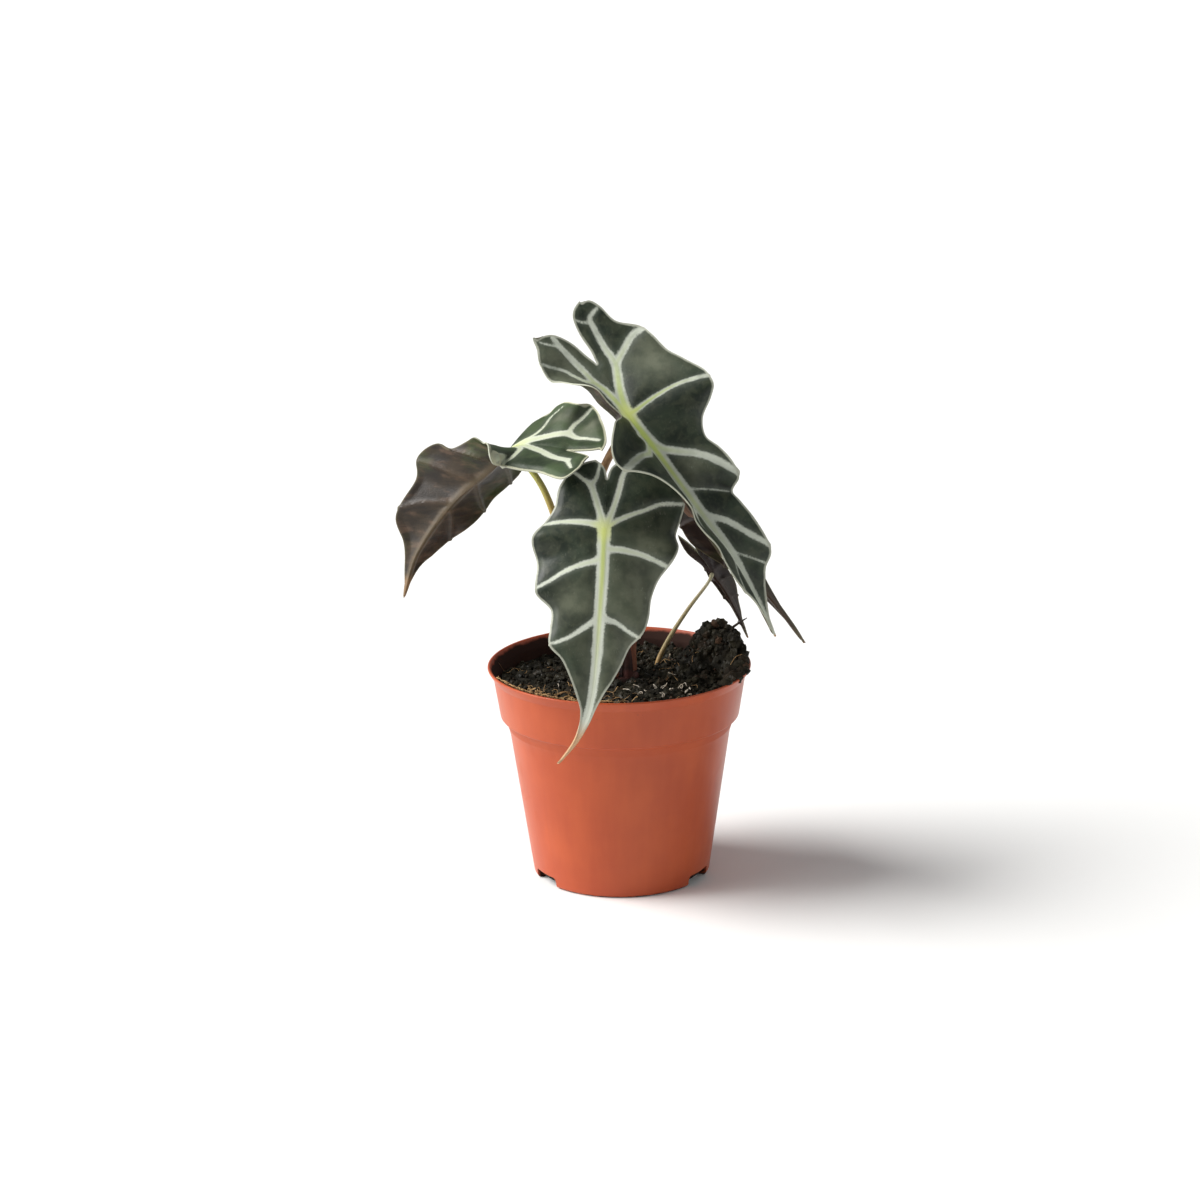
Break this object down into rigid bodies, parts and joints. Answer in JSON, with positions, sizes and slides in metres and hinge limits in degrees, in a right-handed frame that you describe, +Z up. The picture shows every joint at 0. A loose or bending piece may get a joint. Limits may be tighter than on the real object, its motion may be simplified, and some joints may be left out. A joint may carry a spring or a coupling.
{
  "type": "potted alocasia polly",
  "caption": "Small alocasia with arrow-shaped, pale-veined leaves on thin stalks, growing from a corm in peat in a round plastic nursery pot.",
  "frame": {"origin": "centre of the pot's underside", "axes": "+Z up, +X to the right of someone who faces the front leaf, +Y away from them"},
  "size_m": [0.1861, 0.1343, 0.2644],
  "materials": {
    "pot": "satin",
    "soil": "matte",
    "corm": "matte",
    "leaf": "satin",
    "stalk": "satin"
  },
  "bodies": {
    "root": {"pot": "pot", "soil": "soil", "corm": "corm", "leaf_top": "leaf", "stalk_top": "stalk", "leaf_front": "leaf", "stalk_front": "stalk", "leaf_side": "leaf", "stalk_side": "stalk", "leaf_back": "leaf", "stalk_back": "stalk", "leaf_low": "leaf", "stalk_low": "stalk"}
  },
  "joints": []
}
